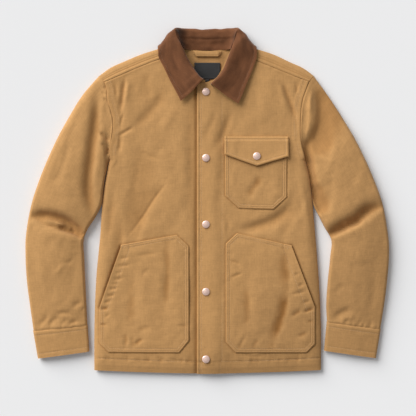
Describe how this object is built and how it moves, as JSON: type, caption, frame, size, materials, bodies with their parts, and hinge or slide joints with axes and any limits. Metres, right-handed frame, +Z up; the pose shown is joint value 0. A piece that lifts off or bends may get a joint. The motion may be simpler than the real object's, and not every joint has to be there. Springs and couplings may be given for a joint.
{
  "type": "chore jacket",
  "caption": "Canvas chore jacket with a brown corduroy collar, laid flat on its back and snapped shut, with patch pockets and turned cuffs.",
  "frame": {"origin": "on the surface the jacket lies on, under the middle of its outline", "axes": "+X towards the wearer's left, +Y from the hem to the collar, +Z up from the surface; the fronts face up"},
  "size_m": [0.8389, 0.7961, 0.0335],
  "materials": {
    "canvas": "washed cotton duck canvas, matt",
    "corduroy": "fine corduroy, soft sheen",
    "label_tape": "woven tape, bare",
    "snap_metal": "satin copper tone"
  },
  "bodies": {
    "root": {"back": "canvas", "front_right": "canvas", "front_left": "canvas", "sleeve_right": "canvas", "sleeve_left": "canvas", "cuff_right": "canvas", "cuff_left": "canvas", "hand_pocket_right": "canvas", "hand_pocket_left": "canvas", "chest_pocket": "canvas", "chest_flap": "canvas", "hanger_loop": "canvas", "collar": "corduroy", "label": "label_tape", "size_tab": "label_tape", "snap_1": "snap_metal", "snap_2": "snap_metal", "snap_3": "snap_metal", "snap_4": "snap_metal", "snap_5": "snap_metal", "flap_snap": "snap_metal"}
  },
  "joints": []
}
